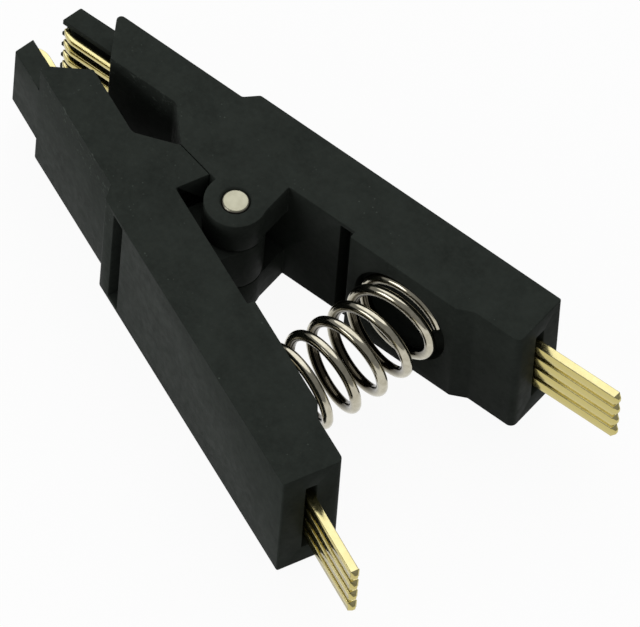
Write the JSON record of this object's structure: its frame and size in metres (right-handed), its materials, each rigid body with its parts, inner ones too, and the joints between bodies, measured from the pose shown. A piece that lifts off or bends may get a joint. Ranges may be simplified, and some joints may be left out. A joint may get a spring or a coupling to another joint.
{
  "type": "ic test clip",
  "caption": "Spring-loaded test clip with two hinged moulded arms, comb jaws with contact strips, and header pins at the tails.",
  "frame": {"origin": "on the pivot pin's axis, in the plane that the clip lies on when it is laid on its side", "axes": "+Z along the pivot pin, up from the side that the clip lies on; +X towards the tail pins; +Y towards the right arm, with the arms mirroring each other about Y = 0"},
  "size_m": [0.047, 0.0246, 0.0105],
  "materials": {
    "arm_plastic": "moulded glass-filled plastic, matte black",
    "pin_steel": "turned steel pin, satin",
    "spring_steel": "nickel-plated spring wire, polished",
    "contact_gold": "gold-plated contact strip, bright"
  },
  "bodies": {
    "left_half": {"left_arm": "arm_plastic", "spring": "spring_steel", "left_contact_1": "contact_gold", "left_contact_2": "contact_gold", "left_contact_3": "contact_gold", "left_contact_4": "contact_gold"},
    "right_half": {"right_arm": "arm_plastic", "pivot_pin": "pin_steel", "right_contact_1": "contact_gold", "right_contact_2": "contact_gold", "right_contact_3": "contact_gold", "right_contact_4": "contact_gold"}
  },
  "joints": [
    {"name": "jaw_hinge", "type": "hinge", "parent": "left_half", "child": "right_half", "pos_m": [0, 0, 0], "axis": [0, 0, -1], "range_deg": [0, 24], "stiffness_Nm_per_rad": 0.54, "deforming": ["spring"]}
  ]
}
